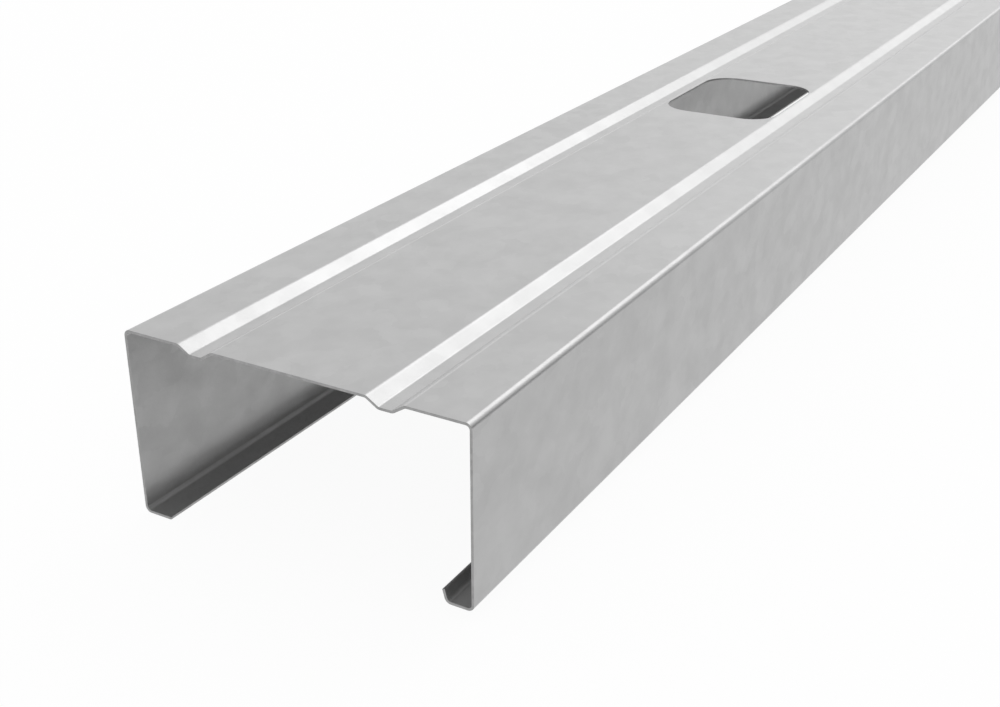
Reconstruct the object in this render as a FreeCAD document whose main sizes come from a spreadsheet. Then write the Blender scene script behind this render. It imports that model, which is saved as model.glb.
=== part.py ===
import FreeCAD, Part
import Sketcher
import enum
import math
import os

# Steel stud for a drywall partition
#
# One strip of galvanised steel, roll formed into a lipped channel and cut to length.
# It lies with its web on top and its open side down. +X runs across the web, +Y along
# the length and +Z up. The origin is on the floor, under the middle of the channel.
# The flange at -X is the higher one and ends in a plain lip. The flange at +X is lower
# and ends in a lip whose edge is turned up into a hook, so that two studs clip together
# into a box. Two shallow grooves stiffen the web, and rounded holes between them take
# cables and pipes.

NODE_NAME = "stud"
CLOSE = 0.001


class Spot(enum.IntEnum):
    """Which point of a sketched line or arc a constraint takes."""
    START = 1
    END = 2
    CENTRE = 3


class Axis(enum.IntEnum):
    """The sketch's own axes. The first one starts at the sketch's origin."""
    ACROSS = -1
    UPWARD = -2


# Driving sizes

SIZES = [
    ("stud_length", 2400, "cut length of the strip"),
    ("sheet_thickness", 0.5, "thickness of the galvanised sheet"),
    ("bend_radius", 0.75, "radius on the inside of every bend"),
    ("web_width", 70, "web, measured over both flanges"),
    ("plain_flange_height", 36.5, "flange with the plain lip, top to underside"),
    ("hooked_flange_height", 34, "flange with the hooked lip, top to underside"),
    ("plain_lip_width", 6, "plain lip, from the outside of its flange"),
    ("hooked_lip_width", 6, "hooked lip, from the outside of its flange to the hook's tip"),
    ("hook_height", 2.5, "hook, from the underside of its lip to its outer top corner"),
    ("hook_lean", 15, "degrees by which the hook leans from upright"),
    ("groove_inset", 15.8, "middle of a groove, from the outside of the nearer flange"),
    ("groove_mouth", 7.2, "groove across its mouth, between sharp corners"),
    ("groove_floor", 2.5, "groove across its floor, between sharp corners"),
    ("groove_depth", 1.5, "depth of a groove below the web"),
    ("hole_margin", 0.6, "flat left between a service hole and the mouth of a groove"),
    ("hole_length", 40, "service hole along the stud"),
    ("hole_corner_radius", 7.5, "corners of a service hole"),
    ("hole_from_end", 200, "middle of the first service hole, from the end of the stud"),
    ("hole_pitch", 500, "distance between the middles of two service holes"),
]

# A service hole takes the flat between the grooves, less a margin at each side.
FLAT_BETWEEN_GROOVES = "sizes.web_width - 2 * sizes.groove_inset - sizes.groove_mouth"
HOLE_WIDTH = f"{FLAT_BETWEEN_GROOVES} - 2 * sizes.hole_margin"
SPAN_OF_HOLES = "sizes.stud_length - 2 * sizes.hole_from_end"

doc = FreeCAD.newDocument("steel_stud")
sheet = doc.addObject("Spreadsheet::Sheet", "sizes")
for row, (alias, value, note) in enumerate(SIZES, start=1):
    sheet.set(f"A{row}", alias)
    sheet.set(f"B{row}", str(value))
    sheet.set(f"C{row}", note)
    sheet.setAlias(f"B{row}", alias)
doc.recompute()


def size(alias):
    """The value that the sheet holds under this name."""
    return float(sheet.get(alias))


def worked_out(item, expression):
    """The value that an expression of the sheet's sizes has in an object of the model."""
    return FreeCAD.Units.Quantity(item.evalExpression(expression)).Value


# Helpers for sketches

def origin_feature(body, role):
    """An origin plane or axis of the body, found by its role."""
    return next(item for item in body.Origin.OriginFeatures if item.Role == role)


def new_sketch(body, name, plane):
    """An empty sketch on one of the body's own origin planes."""
    sketch = body.newObject("Sketcher::SketchObject", name)
    sketch.AttachmentSupport = [(origin_feature(body, plane), "")]
    sketch.MapMode = "FlatFace"
    return sketch


def constrain(sketch, kind, *items):
    """Add one geometric constraint."""
    sketch.addConstraint(Sketcher.Constraint(kind, *items))


def dimension(sketch, name, expression, kind, *items):
    """Add one dimension and bind it to the sheet."""
    value = worked_out(sketch, expression)
    if kind == "Angle":
        value = math.radians(value)
    index = sketch.addConstraint(Sketcher.Constraint(kind, *items, value))
    sketch.renameConstraint(index, name)
    sketch.setExpression(f"Constraints.{name}", expression)


def add_chain(sketch, points):
    """Draw lines through the points, each joined to the next, and return their numbers."""
    lines = []
    for start, end in zip(points, points[1:]):
        lines.append(sketch.addGeometry(Part.LineSegment(start, end), False))
    for line, following in zip(lines, lines[1:]):
        constrain(sketch, "Coincident", line, Spot.END, following, Spot.START)
    return lines


# The section of the sheet
#
# The outer face is one chain of straight lines from the plain lip's edge, up the flange,
# over the web with its grooves and down to the hook's edge. The inner face is the same
# chain one sheet thickness further in. Corners are sharp here and are bent afterwards.

FACES = [
    "plain_lip", "plain_flange", "plain_web_edge",
    "plain_groove_down", "plain_groove_floor", "plain_groove_up",
    "web_middle",
    "hooked_groove_down", "hooked_groove_floor", "hooked_groove_up",
    "hooked_web_edge", "hooked_flange", "hooked_lip", "hook",
]


def outer_corners():
    """Where the corners of the outer face start, before the sketch is solved."""
    half = size("web_width") / 2
    top = size("plain_flange_height")
    low = top - size("hooked_flange_height")
    groove = half - size("groove_inset")
    mouth = size("groove_mouth") / 2
    floor = size("groove_floor") / 2
    bottom = top - size("groove_depth")
    tip_x = half - size("hooked_lip_width")
    tip_z = low + size("hook_height")
    heel_x = tip_x + size("hook_height") * math.tan(math.radians(size("hook_lean")))
    places = [(size("plain_lip_width") - half, 0), (-half, 0), (-half, top)]
    for middle in (-groove, groove):
        places += [(middle - mouth, top), (middle - floor, bottom)]
        places += [(middle + floor, bottom), (middle + mouth, top)]
    places += [(half, top), (half, low), (heel_x, low), (tip_x, tip_z)]
    return [FreeCAD.Vector(x, z, 0) for x, z in places]


def inner_corners(corners, thickness):
    """The same corners one sheet thickness further in, mitred at each bend."""
    inward = []
    for start, end in zip(corners, corners[1:]):
        along = (end - start).normalize()
        inward.append(FreeCAD.Vector(along.y, -along.x, 0))
    before = [inward[0]] + inward
    after = inward + [inward[-1]]
    moved = []
    for corner, first, second in zip(corners, before, after):
        moved.append(corner + (first + second) * (thickness / (1 + first.dot(second))))
    return moved


def draw_section(body):
    """Sketch the sheet's section and return it with its outer and inner lines by name."""
    sketch = new_sketch(body, "section", "XZ_Plane")
    corners = outer_corners()
    offset = inner_corners(corners, size("sheet_thickness"))
    outer = dict(zip(FACES, add_chain(sketch, corners)))
    inner = dict(zip(FACES, add_chain(sketch, offset)))

    # the two edges of the strip close the outline, square to the sheet
    for face, side in (("plain_lip", Spot.START), ("hook", Spot.END)):
        ends = [sketch.getPoint(outer[face], side), sketch.getPoint(inner[face], side)]
        edge = add_chain(sketch, ends)[0]
        constrain(sketch, "Coincident", edge, Spot.START, outer[face], side)
        constrain(sketch, "Coincident", edge, Spot.END, inner[face], side)
        constrain(sketch, "Perpendicular", edge, outer[face])

    # the inner face follows the outer one at the sheet's thickness
    for face in FACES:
        constrain(sketch, "Parallel", outer[face], inner[face])
        dimension(sketch, f"{face}_thickness", "sizes.sheet_thickness",
                  "Distance", inner[face], Spot.START, outer[face])

    # level and upright walls
    for face in ("plain_lip", "plain_web_edge", "plain_groove_floor", "web_middle",
                 "hooked_groove_floor", "hooked_web_edge", "hooked_lip"):
        constrain(sketch, "Horizontal", outer[face])
    for face in ("plain_flange", "hooked_flange"):
        constrain(sketch, "Vertical", outer[face])

    # flanges and lips
    plain_flange = outer["plain_flange"]
    hooked_flange = outer["hooked_flange"]
    constrain(sketch, "PointOnObject", plain_flange, Spot.START, Axis.ACROSS)
    dimension(sketch, "plain_side", "sizes.web_width / 2",
              "DistanceX", plain_flange, Spot.START, Axis.ACROSS, Spot.START)
    dimension(sketch, "web_width", "sizes.web_width",
              "DistanceX", plain_flange, Spot.END, hooked_flange, Spot.START)
    dimension(sketch, "plain_flange_height", "sizes.plain_flange_height",
              "DistanceY", plain_flange, Spot.START, plain_flange, Spot.END)
    dimension(sketch, "hooked_flange_height", "sizes.hooked_flange_height",
              "DistanceY", hooked_flange, Spot.END, hooked_flange, Spot.START)
    dimension(sketch, "plain_lip_width", "sizes.plain_lip_width",
              "DistanceX", outer["plain_lip"], Spot.END, outer["plain_lip"], Spot.START)
    dimension(sketch, "hooked_lip_width", "sizes.hooked_lip_width",
              "DistanceX", outer["hook"], Spot.END, hooked_flange, Spot.END)
    dimension(sketch, "hook_height", "sizes.hook_height",
              "DistanceY", outer["hook"], Spot.START, outer["hook"], Spot.END)
    dimension(sketch, "hook_angle", "90 deg + sizes.hook_lean * 1 deg",
              "Angle", outer["hook"])

    # the two grooves, each even about its own middle
    for side in ("plain", "hooked"):
        down = outer[f"{side}_groove_down"]
        floor = outer[f"{side}_groove_floor"]
        up = outer[f"{side}_groove_up"]
        web_edge = outer[f"{side}_web_edge"]
        constrain(sketch, "Horizontal", down, Spot.START, up, Spot.END)
        constrain(sketch, "Equal", down, up)
        dimension(sketch, f"{side}_groove_mouth", "sizes.groove_mouth",
                  "DistanceX", down, Spot.START, up, Spot.END)
        dimension(sketch, f"{side}_groove_floor", "sizes.groove_floor",
                  "DistanceX", floor, Spot.START, floor, Spot.END)
        dimension(sketch, f"{side}_groove_depth", "sizes.groove_depth",
                  "DistanceY", floor, Spot.START, down, Spot.START)
        dimension(sketch, f"{side}_groove_inset", "sizes.groove_inset - sizes.groove_mouth / 2",
                  "DistanceX", web_edge, Spot.START, web_edge, Spot.END)
    return sketch, outer, inner


# Bends

def corner_after(sketch, lines, face):
    """Where a face of the section meets the next one, as a point of the model."""
    return sketch.Placement.multVec(sketch.getPoint(lines[face], Spot.END))


def sort_corners(sketch, outer, inner):
    """Split the section's corners into the outside and the inside of each bend."""
    wide = []
    tight = []
    for face in FACES[:-1]:
        outside = corner_after(sketch, outer, face)
        inside = corner_after(sketch, inner, face)
        # at a groove's floor the sheet bends the other way
        if face.endswith("_down") or face.endswith("_floor"):
            outside, inside = inside, outside
        wide.append(outside)
        tight.append(inside)
    return wide, tight


def lengthwise_edges(feature, corners):
    """Names of the feature's edges that run along the stud through these corners."""
    names = []
    for number, edge in enumerate(feature.Shape.Edges, start=1):
        ends = [vertex.Point for vertex in edge.Vertexes]
        for corner in corners:
            aligned = [math.hypot(end.x - corner.x, end.z - corner.z) < CLOSE for end in ends]
            if all(aligned):
                names.append(f"Edge{number}")
    return names


def bend(body, name, base, corners, radius):
    """Round the sheet's corners with one radius."""
    fillet = body.newObject("PartDesign::Fillet", name)
    fillet.Base = (base, lengthwise_edges(base, corners))
    fillet.setExpression("Radius", radius)
    body.Tip = fillet
    doc.recompute()
    return fillet


# Service holes
#
# A rounded hole is punched through the web near one end and repeated along the stud.

def draw_service_hole(body):
    """Sketch the first service hole on the web's top face."""
    sketch = new_sketch(body, "service_hole_outline", "XY_Plane")
    sketch.setExpression("AttachmentOffset.Base.z", "sizes.plain_flange_height")
    radius = size("hole_corner_radius")
    reach_x = worked_out(sketch, HOLE_WIDTH) / 2 - radius
    reach_y = size("hole_length") / 2 - radius
    hole_y = size("hole_from_end") - size("stud_length") / 2

    # corner arcs, anticlockwise from the corner at +X and +Y
    arcs = []
    for quarter, (side_x, side_y) in enumerate([(1, 1), (-1, 1), (-1, -1), (1, -1)]):
        centre = FreeCAD.Vector(side_x * reach_x, hole_y + side_y * reach_y, 0)
        circle = Part.Circle(centre, FreeCAD.Vector(0, 0, 1), radius)
        turn = quarter * math.pi / 2
        arc = Part.ArcOfCircle(circle, turn, turn + math.pi / 2)
        arcs.append(sketch.addGeometry(arc, False))

    # straight sides between them, each tangent to both its arcs
    sides = []
    for arc, following in zip(arcs, arcs[1:] + arcs[:1]):
        ends = [sketch.getPoint(arc, Spot.END), sketch.getPoint(following, Spot.START)]
        side = add_chain(sketch, ends)[0]
        constrain(sketch, "Tangent", arc, Spot.END, side, Spot.START)
        constrain(sketch, "Tangent", side, Spot.END, following, Spot.START)
        sides.append(side)
    far_side, plain_side, near_side, hooked_side = sides
    for side in (far_side, near_side):
        constrain(sketch, "Horizontal", side)
    for side in (plain_side, hooked_side):
        constrain(sketch, "Vertical", side)
    for arc in arcs[1:]:
        constrain(sketch, "Equal", arcs[0], arc)

    # the hole is even about its middle, which lies on the stud's centre line
    middle = sketch.addGeometry(Part.Point(FreeCAD.Vector(0, hole_y, 0)), True)
    constrain(sketch, "PointOnObject", middle, Spot.START, Axis.UPWARD)
    constrain(sketch, "Symmetric", arcs[0], Spot.CENTRE, arcs[2], Spot.CENTRE,
              middle, Spot.START)
    dimension(sketch, "corner_radius", "sizes.hole_corner_radius", "Radius", arcs[0])
    dimension(sketch, "hole_width", HOLE_WIDTH,
              "DistanceX", plain_side, Spot.START, hooked_side, Spot.START)
    dimension(sketch, "hole_length", "sizes.hole_length",
              "DistanceY", near_side, Spot.START, far_side, Spot.START)
    dimension(sketch, "first_hole", "sizes.stud_length / 2 - sizes.hole_from_end",
              "DistanceY", middle, Spot.START, Axis.ACROSS, Spot.START)
    return sketch


# The stud

body = doc.addObject("PartDesign::Body", "stud_body")
body.Label = NODE_NAME

section, outer_lines, inner_lines = draw_section(body)
doc.recompute()

strip = body.newObject("PartDesign::Pad", "rolled_strip")
strip.Profile = section
strip.SideType = "Symmetric"
strip.setExpression("Length", "sizes.stud_length")
body.Tip = strip
doc.recompute()

wide_corners, tight_corners = sort_corners(section, outer_lines, inner_lines)
wide_bends = bend(body, "bends_outside", strip, wide_corners,
                  "sizes.bend_radius + sizes.sheet_thickness")
tight_bends = bend(body, "bends_inside", wide_bends, tight_corners, "sizes.bend_radius")

hole_outline = draw_service_hole(body)
doc.recompute()

punch = body.newObject("PartDesign::Pocket", "first_service_hole")
punch.Profile = hole_outline
punch.setExpression("Length", "2 * sizes.sheet_thickness")
body.Tip = punch
doc.recompute()

holes = body.newObject("PartDesign::LinearPattern", "service_holes")
holes.Originals = [punch]
holes.Direction = (origin_feature(body, "Y_Axis"), [""])
holes.Mode = "Spacing"
holes.setExpression("Offset", "sizes.hole_pitch")
holes.setExpression("Occurrences", f"floor(({SPAN_OF_HOLES}) / sizes.hole_pitch) + 1")
body.Tip = holes
doc.recompute()


# Checks

failed = [item.Name for item in doc.Objects if {"Invalid", "Error"} & set(item.State)]
if failed:
    raise RuntimeError(f"not solved: {failed}")
if not (section.FullyConstrained and hole_outline.FullyConstrained):
    raise RuntimeError("a sketch is not fully dimensioned")
stud = body.Shape
if stud.isNull() or not stud.isValid() or len(stud.Solids) != 1:
    raise RuntimeError("the stud is not one sound solid")

# every hole has to go right through the sheet
hole_area = Part.Face(hole_outline.Shape.Wires[0]).Area
punched = tight_bends.Shape.Volume - stud.Volume
expected = holes.Occurrences * hole_area * size("sheet_thickness")
if abs(punched - expected) > CLOSE * expected:
    raise RuntimeError(f"the holes took {punched:.1f} mm3 and not {expected:.1f}")

box = stud.BoundBox
print(f"stud: {box.XLength:.2f} x {box.YLength:.2f} x {box.ZLength:.2f} mm")
print(f"bends: {len(wide_corners)}, service holes: {holes.Occurrences}")
print(f"steel: {stud.Volume / 1000:.2f} cm3")

os.makedirs("parts", exist_ok=True)
stud.exportStep(f"parts/{body.Label}.step")
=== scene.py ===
# %% [markdown]
# # A galvanised steel stud, rolled and dressed
#
# The object is one strip of thin galvanised steel. Rollers have folded it into a channel with
# two shallow grooves in its web, a plain lip on one side and a hooked lip on the other, and
# rounded holes are punched through the web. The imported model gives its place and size. This
# script rolls a finer copy of the same strip, gives it a zinc surface and lights it.

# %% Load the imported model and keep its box
import bmesh
import bpy
import math
from mathutils import Matrix, Vector


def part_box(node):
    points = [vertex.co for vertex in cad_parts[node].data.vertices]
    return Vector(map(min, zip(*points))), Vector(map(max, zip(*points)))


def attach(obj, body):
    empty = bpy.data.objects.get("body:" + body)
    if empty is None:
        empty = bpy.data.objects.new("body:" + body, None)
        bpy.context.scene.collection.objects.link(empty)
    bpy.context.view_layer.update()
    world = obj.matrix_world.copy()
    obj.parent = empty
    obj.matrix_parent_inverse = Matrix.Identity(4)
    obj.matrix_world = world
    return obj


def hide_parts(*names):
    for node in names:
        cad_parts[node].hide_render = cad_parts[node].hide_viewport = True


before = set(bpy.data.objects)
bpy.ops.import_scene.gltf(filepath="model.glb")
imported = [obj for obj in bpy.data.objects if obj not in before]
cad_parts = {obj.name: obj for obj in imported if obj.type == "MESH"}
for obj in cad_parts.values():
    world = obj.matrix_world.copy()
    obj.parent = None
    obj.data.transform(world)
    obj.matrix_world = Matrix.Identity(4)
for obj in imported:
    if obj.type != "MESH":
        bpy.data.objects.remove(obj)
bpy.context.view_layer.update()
MM = 0.001

# %% [markdown]
# ## Sizes
#
# The length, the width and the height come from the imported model's own box, so the dressed
# strip can't drift away from it. The smaller sizes are those of the real section: the sheet,
# its bends, lips and grooves. They are written once here, in millimetres.

# %% Sizes of the strip
low_corner, high_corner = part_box("stud")
LENGTH = high_corner.y - low_corner.y
WEB_WIDTH = high_corner.x - low_corner.x
PLAIN_FLANGE = high_corner.z - low_corner.z
HOOKED_FLANGE = 34 * MM
SHEET = 0.5 * MM
INSIDE_RADIUS = 0.75 * MM
OUTSIDE_RADIUS = INSIDE_RADIUS + SHEET
PLAIN_LIP = 6 * MM
HOOKED_LIP = 6 * MM
HOOK_HEIGHT = 2.5 * MM
HOOK_LEAN = math.radians(15)
GROOVE_INSET = 15.8 * MM
GROOVE_MOUTH = 7.2 * MM
GROOVE_FLOOR = 2.5 * MM
GROOVE_DEPTH = 1.5 * MM
print(f"strip: {WEB_WIDTH / MM:.1f} x {LENGTH / MM:.0f} x {PLAIN_FLANGE / MM:.1f} mm")

# %% Sizes of the service holes
HOLE_MARGIN = 0.6 * MM
HOLE_WIDTH = WEB_WIDTH - 2 * GROOVE_INSET - GROOVE_MOUTH - 2 * HOLE_MARGIN
HOLE_LENGTH = 40 * MM
HOLE_CORNER = 7.5 * MM
HOLE_FROM_END = 200 * MM
HOLE_PITCH = 500 * MM
print(f"service hole: {HOLE_WIDTH / MM:.1f} x {HOLE_LENGTH / MM:.0f} mm")

# %% [markdown]
# ## Rolling the section
#
# A roll former bends a flat strip a little at each stand, always at the same radius. The
# section can be made the same way: one vertex is pushed straight on with an extrude and
# carried round each bend with a spin, and the trail it leaves is the sheet's outer face.
# A sharp outline with a bevel would be shorter, but its bends are only circles at right
# angles. Here each bend is a true arc, so its highlight runs as evenly as on the real steel.

# %% Two moves of the roll former
FACET = math.radians(10)
FEWEST_FACETS = 3
RIGHT_ANGLE = math.pi / 2
PAINTED_HIGHLIGHT_LAYER = "painted_highlight_layer"
# painted highlight: how much lighter the base colour is on a groove's slopes and bends, and on a
# right-angle bend
SLOPE_HIGHLIGHT = 1.0
CORNER_HIGHLIGHT = 0.4
print(f"a right angle is rolled in {round(RIGHT_ANGLE / FACET)} facets")


def roll_straight(bm, tip, heading, length):
    """Push the tip of the outline straight on and return the new tip."""
    tip = bmesh.ops.extrude_vert_indiv(bm, verts=[tip])["verts"][0]
    bmesh.ops.translate(bm, verts=[tip], vec=heading * length)
    return tip


def roll_bend(bm, tip, heading, turn, radius):
    """Carry the tip round a bend, clockwise for a positive turn, and return tip and heading."""
    side = Vector((heading.z, 0, -heading.x)) * math.copysign(1, turn)
    steps = max(FEWEST_FACETS, round(abs(turn) / FACET))
    known = len(bm.verts)
    arc = bmesh.ops.spin(bm, geom=[tip], cent=tip.co + side * radius, axis=(0, 1, 0),
                         angle=turn, steps=steps, space=Matrix.Identity(4))
    last = arc["geom_last"][0]
    # painted highlight: every new vertex round a bend gets a lighter base colour, full on a
    # groove's bends and less on a right-angle bend
    painted_highlight_layer = bm.verts.layers.float[PAINTED_HIGHLIGHT_LAYER]
    for vert in bm.verts[known:]:
        vert[painted_highlight_layer] = SLOPE_HIGHLIGHT if abs(turn) < RIGHT_ANGLE / 2 else CORNER_HIGHLIGHT
    heading = Matrix.Rotation(turn, 3, "Y") @ heading
    return last, heading


# %% [markdown]
# The list below reads like a bending plan: a straight run, then a bend, and so on. Each run
# is as long as the face between two sharp corners, less what the bends at its ends take up.
# Seen from above, the sheet bends round its outside radius at a flange, a lip or the mouth of
# a groove, and round its inside radius at the foot of a groove.
#
# The last value of each step is how much painted highlight the face that follows gets: most on
# the slopes of a groove, less on its floor, none on the wide faces. Every vertex keeps it in a
# vertex layer, and the zinc's base colour reads it further down.

# %% The bending plan
GROOVE_TURN = math.atan2(GROOVE_DEPTH, (GROOVE_MOUTH - GROOVE_FLOOR) / 2)
GROOVE_SIDE = math.hypot(GROOVE_DEPTH, (GROOVE_MOUTH - GROOVE_FLOOR) / 2)
WEB_EDGE = GROOVE_INSET - GROOVE_MOUTH / 2
WEB_MIDDLE = WEB_WIDTH - 2 * (WEB_EDGE + GROOVE_MOUTH)
HOOK_TURN = RIGHT_ANGLE - HOOK_LEAN
HOOK_FOOT = HOOKED_LIP - HOOK_HEIGHT * math.tan(HOOK_LEAN)
HOOK_SIDE = HOOK_HEIGHT / math.cos(HOOK_LEAN)
# painted highlight on a groove's floor, and none on the wide faces
GROOVE_FLOOR_HIGHLIGHT = 0.4
NO_HIGHLIGHT = 0.0
NO_BEND = (0, 0)

GROOVE = [
    (GROOVE_TURN, OUTSIDE_RADIUS, GROOVE_SIDE, SLOPE_HIGHLIGHT),
    (-GROOVE_TURN, INSIDE_RADIUS, GROOVE_FLOOR, GROOVE_FLOOR_HIGHLIGHT),
    (-GROOVE_TURN, INSIDE_RADIUS, GROOVE_SIDE, SLOPE_HIGHLIGHT),
]
BENDING_PLAN = [
    (RIGHT_ANGLE, OUTSIDE_RADIUS, PLAIN_FLANGE, NO_HIGHLIGHT),
    (RIGHT_ANGLE, OUTSIDE_RADIUS, WEB_EDGE, NO_HIGHLIGHT),
    *GROOVE,
    (GROOVE_TURN, OUTSIDE_RADIUS, WEB_MIDDLE, NO_HIGHLIGHT),
    *GROOVE,
    (GROOVE_TURN, OUTSIDE_RADIUS, WEB_EDGE, NO_HIGHLIGHT),
    (RIGHT_ANGLE, OUTSIDE_RADIUS, HOOKED_FLANGE, NO_HIGHLIGHT),
    (RIGHT_ANGLE, OUTSIDE_RADIUS, HOOK_FOOT, NO_HIGHLIGHT),
    (HOOK_TURN, OUTSIDE_RADIUS, HOOK_SIDE, NO_HIGHLIGHT),
]
print(f"bending plan: {len(BENDING_PLAN)} bends")


def set_back(turn, radius):
    """How much of a straight face a bend takes up."""
    return radius * math.tan(abs(turn) / 2)


def roll_section(bm):
    """Trace the outer face from the plain lip's edge to the hook's edge."""
    start = (low_corner.x + PLAIN_LIP, low_corner.y, low_corner.z)
    tip = bmesh.ops.create_vert(bm, co=start)["vert"][0]
    heading = Vector((-1, 0, 0))
    tip = roll_straight(bm, tip, heading, PLAIN_LIP - set_back(*BENDING_PLAN[0][:2]))
    painted_highlight_layer = bm.verts.layers.float[PAINTED_HIGHLIGHT_LAYER]
    next_bends = [step[:2] for step in BENDING_PLAN[1:]] + [NO_BEND]
    for (turn, radius, face, highlight_share), next_bend in zip(BENDING_PLAN, next_bends):
        tip, heading = roll_bend(bm, tip, heading, turn, radius)
        # the painted highlight of the face that follows
        tip[painted_highlight_layer] = highlight_share
        run = face - set_back(turn, radius) - set_back(*next_bend)
        tip = roll_straight(bm, tip, heading, run)
        tip[painted_highlight_layer] = highlight_share
    return tip.co.copy()


# %% Roll the strip to its length
strip = bmesh.new()
strip.verts.layers.float.new(PAINTED_HIGHLIGHT_LAYER)
hook_tip = roll_section(strip)
profile = strip.edges[:]
drawn_out = bmesh.ops.extrude_edge_only(strip, edges=profile)["geom"]
far_end = [item for item in drawn_out if isinstance(item, bmesh.types.BMVert)]
bmesh.ops.translate(strip, verts=far_end, vec=(0, LENGTH, 0))
print(f"section: {len(profile)} facets, hook ends {hook_tip.x / MM:.2f}, "
      f"{(hook_tip.z - low_corner.z) / MM:.2f} mm")

# %% [markdown]
# ## Punching the service holes
#
# A press punches a rounded hole into the flat between the grooves every half metre. A Boolean
# could cut it, but it leaves stray points in long thin faces. It is tidier to cut the strip
# across before and behind the hole, take out that one flat face, and bridge its rim to a
# rounded outline: a grid of one face whose four corners are bevelled.

# %% Punch one hole
HOLE_FRAME = 6 * MM
CORNER_FACETS = 10
TOP = high_corner.z
LEVEL = 0.05 * MM


def cut_across(bm, y):
    """Cut every face of the strip at this place along it."""
    everything = bm.verts[:] + bm.edges[:] + bm.faces[:]
    bmesh.ops.bisect_plane(bm, geom=everything, plane_co=(0, y, 0), plane_no=(0, 1, 0))


def faces_round(verts):
    """Every face that one of these vertices belongs to."""
    return {face for vert in verts for face in vert.link_faces}


def rounded_outline(bm, middle, width, length, radius):
    """Edges of a rounded rectangle that lies flat round its middle."""
    grid = bmesh.ops.create_grid(bm, x_segments=1, y_segments=1, size=0.5)["verts"]
    bmesh.ops.scale(bm, verts=grid, vec=(width, length, 1))
    bmesh.ops.translate(bm, verts=grid, vec=middle)
    rounded = bmesh.ops.bevel(bm, geom=grid, affect="VERTICES", offset=radius,
                              segments=CORNER_FACETS, profile=0.5, material=-1)
    face = next(f for f in faces_round(rounded["verts"]) if len(f.verts) > 4)
    edges = face.edges[:]
    bmesh.ops.delete(bm, geom=[face], context="FACES_ONLY")
    return edges


def web_face_at(bm, y):
    """The flat face between the grooves that lies over this place."""
    for face in bm.faces:
        centre = face.calc_center_median()
        middle = abs(centre.x) < SHEET and abs(centre.z - TOP) < LEVEL
        if middle and min(v.co.y for v in face.verts) < y < max(v.co.y for v in face.verts):
            return face


def punch_hole(bm, y):
    """Open the web round this place and give the opening a rounded rim."""
    for side in (-1, 1):
        cut_across(bm, y + side * (HOLE_LENGTH / 2 + HOLE_FRAME))
    blank = web_face_at(bm, y)
    rim = blank.edges[:]
    bmesh.ops.delete(bm, geom=[blank], context="FACES_ONLY")
    outline = rounded_outline(bm, (0, y, TOP), HOLE_WIDTH, HOLE_LENGTH, HOLE_CORNER)
    bmesh.ops.bridge_loops(bm, edges=rim + outline)


# %% Punch them all
ROUNDING = 0.001

hole_count = math.floor((LENGTH - 2 * HOLE_FROM_END) / HOLE_PITCH + ROUNDING) + 1
hole_places = [low_corner.y + HOLE_FROM_END + HOLE_PITCH * n for n in range(hole_count)]
for place in hole_places:
    punch_hole(strip, place)
print(f"service holes: {hole_count}, strip now has {len(strip.faces)} faces")

# %% [markdown]
# ## From a skin to a sheet
#
# So far the strip is a skin without thickness. Its faces are turned to point outwards, and a
# Solidify modifier grows the sheet inwards to its real thickness, evenly round every bend.
# The faces it adds along the ends, the lips' edges and the holes are the sheared edges, and
# they get a finish of their own. A very narrow Bevel breaks those edges as the shears do, so
# that they catch a thin line of light, and Weighted Normal keeps the flat faces flat.

# %% Turn the faces outwards and make the piece
WELD_DISTANCE = 0.001 * MM

bmesh.ops.remove_doubles(strip, verts=strip.verts, dist=WELD_DISTANCE)
bmesh.ops.recalc_face_normals(strip, faces=strip.faces)
before_first_hole = 0.5 * (hole_places[0] + low_corner.y)
if web_face_at(strip, before_first_hole).normal.z < 0:
    bmesh.ops.reverse_faces(strip, faces=strip.faces)
for face in strip.faces:
    face.smooth = True
sheet_mesh = bpy.data.meshes.new("stud_sheet")
strip.to_mesh(sheet_mesh)
strip.free()
stud_sheet = bpy.data.objects.new("stud_sheet", sheet_mesh)
bpy.context.scene.collection.objects.link(stud_sheet)
print("skin:", len(sheet_mesh.vertices), "vertices")

# %% Give it thickness and broken edges
EDGE_BREAK = 0.05 * MM
EDGE_ANGLE = math.radians(60)
INSIDE_FINISH = 1
EDGE_FINISH = 2

thickness = stud_sheet.modifiers.new("sheet_thickness", "SOLIDIFY")
thickness.thickness = SHEET
thickness.offset = -1
thickness.use_even_offset = True
thickness.use_quality_normals = True
thickness.material_offset = INSIDE_FINISH
thickness.material_offset_rim = EDGE_FINISH

broken_edge = stud_sheet.modifiers.new("broken_edges", "BEVEL")
broken_edge.width = EDGE_BREAK
broken_edge.segments = 2
broken_edge.limit_method = "ANGLE"
broken_edge.angle_limit = EDGE_ANGLE

flat_faces = stud_sheet.modifiers.new("flat_faces", "WEIGHTED_NORMAL")
flat_faces.weight = 100
flat_faces.keep_sharp = True
print("finished by:", [modifier.name for modifier in stud_sheet.modifiers])

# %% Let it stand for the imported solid
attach(stud_sheet, "root")
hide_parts("stud")

# %% [markdown]
# ## The zinc surface
#
# Hot-dip galvanised strip is grey, satin and never quite even. The zinc freezes in flakes and
# clouds a few millimetres wide, each a little lighter, darker, rougher or smoother than the
# next. Painting that by hand would need an image. Noise on Object coordinates needs none and
# runs on round the bends, as the coat does. All three finishes use it, so it is one node
# group with named inputs and outputs.
#
# Outside, the rollers have smoothed the zinc. Its base colour is painted lighter on the slopes
# and bends, a painted highlight. Inside it is rougher, under an unbroken clear film with a faint
# bloom, and its base colour is painted darker, a painted shade. The inside of a flange looks
# much darker than its outside, partly from real shade and partly from that painted shade.

# %% Helpers for nodes


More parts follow.
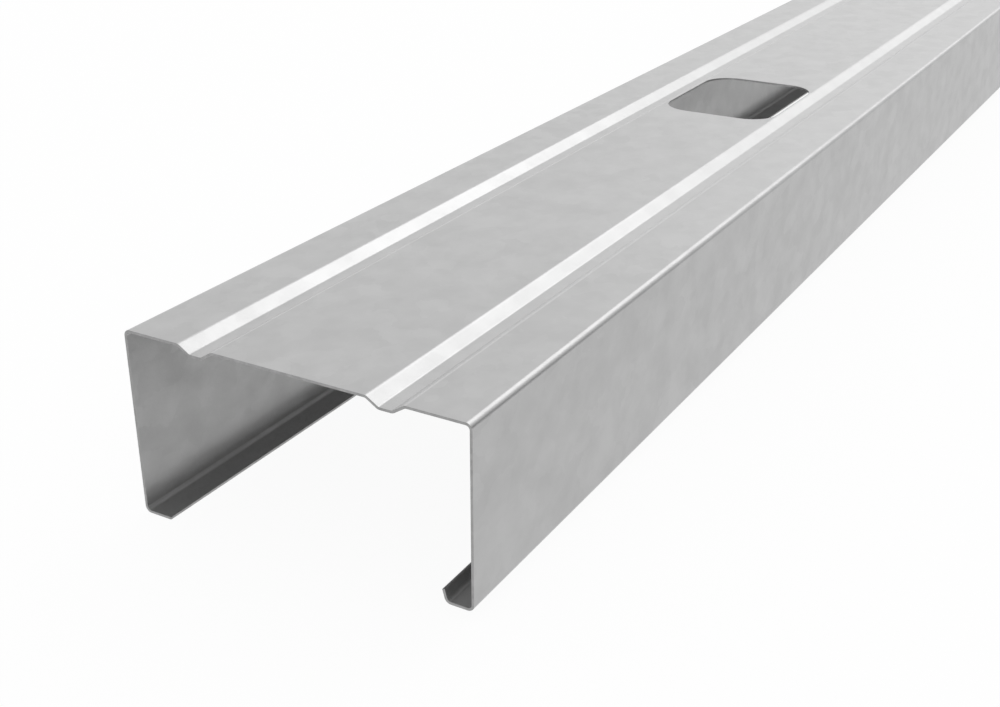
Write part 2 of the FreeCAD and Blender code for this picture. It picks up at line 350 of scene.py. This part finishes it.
def add_node(tree, kind, inputs=(), **settings):
    """Add a node, set its fields, and set or link its inputs."""
    node = tree.nodes.new(kind)
    for name, value in settings.items():
        setattr(node, name, value)
    for name, value in dict(inputs).items():
        if isinstance(value, bpy.types.NodeSocket):
            tree.links.new(value, node.inputs[name])
        else:
            node.inputs[name].default_value = value
    return node


def math_node(tree, operation, first, second):
    """Combine two values and return the result's socket."""
    node = add_node(tree, "ShaderNodeMath", {0: first, 1: second}, operation=operation)
    return node.outputs[0]


def spread(tree, value, low, high):
    """Stretch a mask from 0 to 1 over a new range, and return its socket."""
    node = add_node(tree, "ShaderNodeMapRange",
                    {"Value": value, "To Min": low, "To Max": high})
    return node.outputs["Result"]


# %% The group: clouds and flakes in the zinc
CLOUD_STRETCH = (1.0, 0.8, 1.0)
CLOUD_DETAIL = 4.0
CLOUD_ROUGHNESS = 0.55
# how many drifts, frays and flakes lie along the length of one cloud
DRIFT_DENSITY = 0.22
DRIFT_DETAIL = 2.0
FRAY_DENSITY = 1.7
FRAY_DETAIL = 3.0
FRAY_REACH = 0.9
FLAKE_DENSITY = 1.25
# how much each of them counts, and the range of their sum that goes from dull to bright
CLOUD_SHARE = 0.66
DRIFT_SHARE = 0.18
FLAKE_SHARE = 0.16
DULLEST_MIX = 0.35
BRIGHTEST_MIX = 0.65


def build_zinc_clouds():
    """A mask of clouds and flakes, from 0 for dull zinc to 1 for bright, and its relief."""
    group = bpy.data.node_groups.new("zinc_clouds", "ShaderNodeTree")
    for name, kind in (("Place", "NodeSocketVector"), ("Cloud Size", "NodeSocketFloat")):
        group.interface.new_socket(name, in_out="INPUT", socket_type=kind)
    for name in ("Brightness", "Relief"):
        group.interface.new_socket(name, in_out="OUTPUT", socket_type="NodeSocketFloat")
    given = group.nodes.new("NodeGroupInput").outputs
    per_metre = math_node(group, "DIVIDE", 1.0, given["Cloud Size"])

    # the coat freezes while the strip runs, so clouds are a little longer than wide
    place = add_node(group, "ShaderNodeMapping",
                     {"Vector": given["Place"], "Scale": CLOUD_STRETCH}).outputs[0]
    clouds = add_node(group, "ShaderNodeTexNoise",
                      {"Vector": place, "Scale": per_metre, "Detail": CLOUD_DETAIL,
                       "Roughness": CLOUD_ROUGHNESS}).outputs["Fac"]
    drifts_per_metre = math_node(group, "MULTIPLY", per_metre, DRIFT_DENSITY)
    drift = add_node(group, "ShaderNodeTexNoise",
                     {"Vector": place, "Scale": drifts_per_metre,
                      "Detail": DRIFT_DETAIL}).outputs["Fac"]

    # flakes: cells with one tone each, their borders frayed by a finer noise
    frays_per_metre = math_node(group, "MULTIPLY", per_metre, FRAY_DENSITY)
    frayed = add_node(group, "ShaderNodeTexNoise",
                      {"Vector": place, "Scale": frays_per_metre,
                       "Detail": FRAY_DETAIL}).outputs["Color"]
    push = math_node(group, "MULTIPLY", given["Cloud Size"], FRAY_REACH)
    shift = add_node(group, "ShaderNodeVectorMath", {0: frayed, "Scale": push},
                     operation="SCALE").outputs["Vector"]
    bent = add_node(group, "ShaderNodeVectorMath", {0: place, 1: shift}).outputs["Vector"]
    flakes_per_metre = math_node(group, "MULTIPLY", per_metre, FLAKE_DENSITY)
    flakes = add_node(group, "ShaderNodeTexVoronoi",
                      {"Vector": bent, "Scale": flakes_per_metre})
    tone = add_node(group, "ShaderNodeSeparateColor",
                    {"Color": flakes.outputs["Color"]}).outputs["Red"]

    weighted_clouds = math_node(group, "MULTIPLY", clouds, CLOUD_SHARE)
    weighted_drift = math_node(group, "MULTIPLY", drift, DRIFT_SHARE)
    weighted_tone = math_node(group, "MULTIPLY", tone, FLAKE_SHARE)
    mixed = math_node(group, "ADD", math_node(group, "ADD", weighted_clouds, weighted_drift),
                      weighted_tone)
    brightness = add_node(group, "ShaderNodeMapRange",
                          {"Value": mixed, "From Min": DULLEST_MIX,
                           "From Max": BRIGHTEST_MIX}).outputs["Result"]
    end = group.nodes.new("NodeGroupOutput")
    group.links.new(brightness, end.inputs["Brightness"])
    group.links.new(clouds, end.inputs["Relief"])
    return group


zinc_clouds = build_zinc_clouds()
print("group:", zinc_clouds.name, [item.name for item in zinc_clouds.interface.items_tree])

# %% The zinc on the faces
ZINC_DULL = (0.494, 0.494, 0.494, 1)
ZINC_BRIGHT = (0.546, 0.546, 0.546, 1)
# painted highlight: the base colour that slopes and bends are painted towards
ZINC_HIGHLIGHT = (0.605, 0.605, 0.605, 1)
# painted shade: the inside is the same zinc, painted darker
SHADED_INSIDE_DULL = (0.405, 0.405, 0.405, 1)
SHADED_INSIDE_BRIGHT = (0.443, 0.443, 0.443, 1)
CLOUD_SIZE = 6 * MM
FILM_ROUGHNESS = 0.22
# the least painted highlight, where the clouds are dullest
LEAST_HIGHLIGHT = 0.85


def mix_colours(tree, share, first, second):
    """Mix two colours by a share from 0 to 1, and return the result's socket."""
    mixer = tree.nodes.new("ShaderNodeMix")
    mixer.data_type = "RGBA"
    sockets = {socket.identifier: socket for socket in mixer.inputs}
    for name, value in (("Factor_Float", share), ("A_Color", first), ("B_Color", second)):
        if isinstance(value, bpy.types.NodeSocket):
            tree.links.new(value, sockets[name])
        else:
            sockets[name].default_value = value
    return next(socket for socket in mixer.outputs if socket.identifier == "Result_Color")


def start_metal(name, cloud_size, relief):
    """A metal with the zinc's clouds in its relief. Returns the material and its parts."""
    material = bpy.data.materials.new(name)
    material.use_nodes = True
    tree = material.node_tree
    shader = tree.nodes["Principled BSDF"]
    shader.inputs["Metallic"].default_value = 1.0
    place = add_node(tree, "ShaderNodeTexCoord").outputs["Object"]
    clouds = add_node(tree, "ShaderNodeGroup", node_tree=zinc_clouds)
    clouds.inputs["Cloud Size"].default_value = cloud_size
    tree.links.new(place, clouds.inputs["Place"])
    bump = add_node(tree, "ShaderNodeBump",
                    {"Height": clouds.outputs["Relief"], "Strength": 1.0, "Distance": relief})
    tree.links.new(bump.outputs["Normal"], shader.inputs["Normal"])
    return material, tree, shader, clouds.outputs["Brightness"]


def build_zinc_face(name, dull, bright, relief, rough, smooth, film, bloom):
    """Satin zinc with clouds, and a painted highlight: a lighter base colour on slopes and
    bends.
    """
    material, tree, shader, clouds = start_metal(name, CLOUD_SIZE, relief)
    zinc = mix_colours(tree, clouds, dull, bright)
    highlight_share = add_node(tree, "ShaderNodeAttribute", attribute_name=PAINTED_HIGHLIGHT_LAYER).outputs["Fac"]
    # painted highlight, a little patchy with the clouds
    patchy_highlight = math_node(tree, "MULTIPLY", highlight_share, spread(tree, clouds, LEAST_HIGHLIGHT, 1.0))
    tree.links.new(mix_colours(tree, patchy_highlight, zinc, ZINC_HIGHLIGHT), shader.inputs["Base Color"])
    tree.links.new(spread(tree, clouds, rough, smooth), shader.inputs["Roughness"])
    shader.inputs["Coat Weight"].default_value = film
    shader.inputs["Coat Roughness"].default_value = FILM_ROUGHNESS
    shader.inputs["Sheen Weight"].default_value = bloom
    return material


# %% The sheared edges
SHEARED_DARK = (0.38, 0.38, 0.38, 1)
SHEARED_LIGHT = (0.46, 0.46, 0.46, 1)
GRAIN_SIZE = 1.5 * MM
GRAIN_RELIEF = 0.01 * MM
TORN_ROUGHNESS = 0.5
SLICED_ROUGHNESS = 0.4


def build_sheared_edge():
    """Bare, finely torn steel on the cut ends, the lips' edges and the walls of the holes."""
    material, tree, shader, grain = start_metal("sheared_edge", GRAIN_SIZE, GRAIN_RELIEF)
    steel = mix_colours(tree, grain, SHEARED_DARK, SHEARED_LIGHT)
    tree.links.new(steel, shader.inputs["Base Color"])
    tree.links.new(spread(tree, grain, TORN_ROUGHNESS, SLICED_ROUGHNESS),
                   shader.inputs["Roughness"])
    return material


# %% Put the three finishes on the sheet
stud_sheet.data.materials.append(build_zinc_face(
    "zinc_outside", ZINC_DULL, ZINC_BRIGHT, relief=0.1 * MM,
    rough=0.36, smooth=0.32, film=0.34, bloom=0.0))
# the inside: rougher, under a clear film and faint bloom, and painted darker as painted shade
stud_sheet.data.materials.append(build_zinc_face(
    "zinc_inside_shaded", SHADED_INSIDE_DULL, SHADED_INSIDE_BRIGHT, relief=0.25 * MM,
    rough=0.525, smooth=0.455, film=1.0, bloom=0.2))
stud_sheet.data.materials.append(build_sheared_edge())
print("finishes:", [finish.name for finish in stud_sheet.data.materials])

# %% [markdown]
# ## Floor
#
# The photograph shows the stud on plain white. The floor is a pale matt sheet that mostly
# glows white for the camera, so it stays white however the lamps are set, and the rest of
# it is an ordinary matt surface that takes the stud's soft shadow. The metal mirrors the
# same white sheet, a little less bright and nearly without the shadow.

# %% Lay the floor
FLOOR_SIZE = 14.0
FLOOR_GAP = 0.1 * MM
# how much of the floor glows for the camera and for metal, and how bright it is for metal
GLOW_SHARE = 0.94
MIRROR_SHARE = 0.97
GLOW_TO_METAL = 0.82

floor_mesh = bpy.data.meshes.new("studio_floor")
floor_shape = bmesh.new()
bmesh.ops.create_grid(floor_shape, x_segments=1, y_segments=1, size=FLOOR_SIZE / 2)
bmesh.ops.translate(floor_shape, verts=floor_shape.verts, vec=(0, 0, low_corner.z - FLOOR_GAP))
floor_shape.to_mesh(floor_mesh)
floor_shape.free()
studio_floor = bpy.data.objects.new("studio_floor", floor_mesh)
bpy.context.scene.collection.objects.link(studio_floor)


def build_floor_paint():
    """Matt white that glows for the camera, and a little less for metal and glass."""
    material = bpy.data.materials.new("floor_paint")
    material.use_nodes = True
    tree = material.node_tree
    tree.nodes.clear()
    rays = add_node(tree, "ShaderNodeLightPath").outputs
    mirrored = math_node(tree, "MAXIMUM", rays["Is Glossy Ray"], rays["Is Transmission Ray"])
    seen = math_node(tree, "MULTIPLY", rays["Is Camera Ray"], GLOW_SHARE)
    share = math_node(tree, "MAXIMUM", seen, math_node(tree, "MULTIPLY", mirrored, MIRROR_SHARE))
    strength = spread(tree, rays["Is Camera Ray"], GLOW_TO_METAL, 1.0)
    matt = add_node(tree, "ShaderNodeBsdfDiffuse", {"Color": (1, 1, 1, 1)})
    glow = add_node(tree, "ShaderNodeEmission", {"Color": (1, 1, 1, 1), "Strength": strength})
    mixed = add_node(tree, "ShaderNodeMixShader",
                     {0: share, 1: matt.outputs[0], 2: glow.outputs[0]})
    add_node(tree, "ShaderNodeOutputMaterial", {"Surface": mixed.outputs[0]})
    return material


studio_floor.data.materials.append(build_floor_paint())
print(f"floor: {FLOOR_SIZE:.0f} m square, {FLOOR_GAP / MM:.1f} mm under the strip")

# %% [markdown]
# ## Light
#
# Metal has no colour of its own to speak of: it shows what stands round it. A white room
# makes the web and the flange an even grey. Behind the stud hang two soft lamps. The large
# softbox makes the slopes of the grooves and the bend of the flange shine, and the low strip
# carries that shine on towards their far ends. The room is dark at its two ends, and the
# metal shows them as the thin dark line under that bend.

# %% The room
ROOM = 0.88
DARK_END = 0.11
DARK_END_AZIMUTH = math.radians(58)
DARK_END_REACH = math.radians(39)
DARK_END_CORE = math.radians(6)

world = bpy.data.worlds.new("studio_room")
bpy.context.scene.world = world
world.use_nodes = True
room = world.node_tree
background = room.nodes["Background"]
direction = add_node(room, "ShaderNodeTexCoord").outputs["Generated"]
end_axis = (math.sin(DARK_END_AZIMUTH), math.cos(DARK_END_AZIMUTH), 0)
along = add_node(room, "ShaderNodeVectorMath", {0: direction, 1: end_axis},
                 operation="DOT_PRODUCT").outputs["Value"]
towards_end = math_node(room, "ABSOLUTE", along, 0.0)
wall = add_node(room, "ShaderNodeMapRange",
                {"Value": towards_end, "From Min": math.cos(DARK_END_REACH),
                 "From Max": math.cos(DARK_END_CORE), "To Min": ROOM, "To Max": DARK_END},
                interpolation_type="SMOOTHSTEP").outputs["Result"]
room_rays = add_node(room, "ShaderNodeLightPath").outputs
shown = math_node(room, "MAXIMUM", room_rays["Is Camera Ray"], room_rays["Is Transmission Ray"])
level = math_node(room, "MAXIMUM", wall, shown)
room.links.new(level, background.inputs["Strength"])
background.inputs["Color"].default_value = (1, 1, 1, 1)
print(f"room: {ROOM} of white, {DARK_END} at its dark ends")

# %% The soft lamps
LAMP_DISTANCE = 5.0


def hang_lamp(name, aim, azimuth, elevation, width, height, glow):
    """A soft rectangular lamp that faces its aim. A glow of 1 is as bright as white paper."""
    lamp = bpy.data.lights.new(name, "AREA")
    lamp.shape = "RECTANGLE"
    lamp.size = width
    lamp.size_y = height
    lamp.energy = math.pi * glow * width * height
    hung = bpy.data.objects.new(name, lamp)
    bpy.context.scene.collection.objects.link(hung)
    azimuth, elevation = math.radians(azimuth), math.radians(elevation)
    level = math.cos(elevation)
    towards = Vector((math.sin(azimuth) * level, math.cos(azimuth) * level,
                      math.sin(elevation)))
    hung.location = aim + towards * LAMP_DISTANCE
    hung.rotation_euler = towards.to_track_quat("Z", "Y").to_euler()
    print(f"{name}: {lamp.energy:.1f} W")


near_end = Vector((0, low_corner.y, high_corner.z))
hang_lamp("back_softbox", near_end, azimuth=1, elevation=40, width=2.9, height=2.5, glow=0.94)
hang_lamp("low_strip", near_end, azimuth=6, elevation=16, width=0.9, height=1.4, glow=0.59)

# %% [markdown]
# ## Camera
#
# The photograph looks down at the near end from in front and to the right, through a
# normal lens. The stud's own parallel edges gave the angle and the distance.

# %% Set up the camera
CAMERA_PLACE = Vector((130.19, -1356.64, 133.60)) * MM
CAMERA_AZIMUTH = math.radians(30)
CAMERA_ELEVATION = math.radians(25)
LENS_MM = 50
SENSOR_MM = 36
NEAREST_SEEN = 0.01

camera = bpy.data.objects.new("camera", bpy.data.cameras.new("camera"))
bpy.context.scene.collection.objects.link(camera)
camera.data.lens = LENS_MM
camera.data.sensor_width = SENSOR_MM
camera.data.clip_start = NEAREST_SEEN
camera.location = CAMERA_PLACE
camera.rotation_euler = (RIGHT_ANGLE - CAMERA_ELEVATION, 0, CAMERA_AZIMUTH)
bpy.context.scene.camera = camera
bpy.context.scene.view_settings.view_transform = "Standard"
print("camera:", [round(metres, 3) for metres in camera.location])

# %% [markdown]
# ## Finish
#
# The dressed strip takes its length, width and height from the imported model's box. The
# dressed strip has to fill the same box as the imported model. The script ends by bringing
# the view layer up to date.

# %% Finish
bpy.context.view_layer.update()
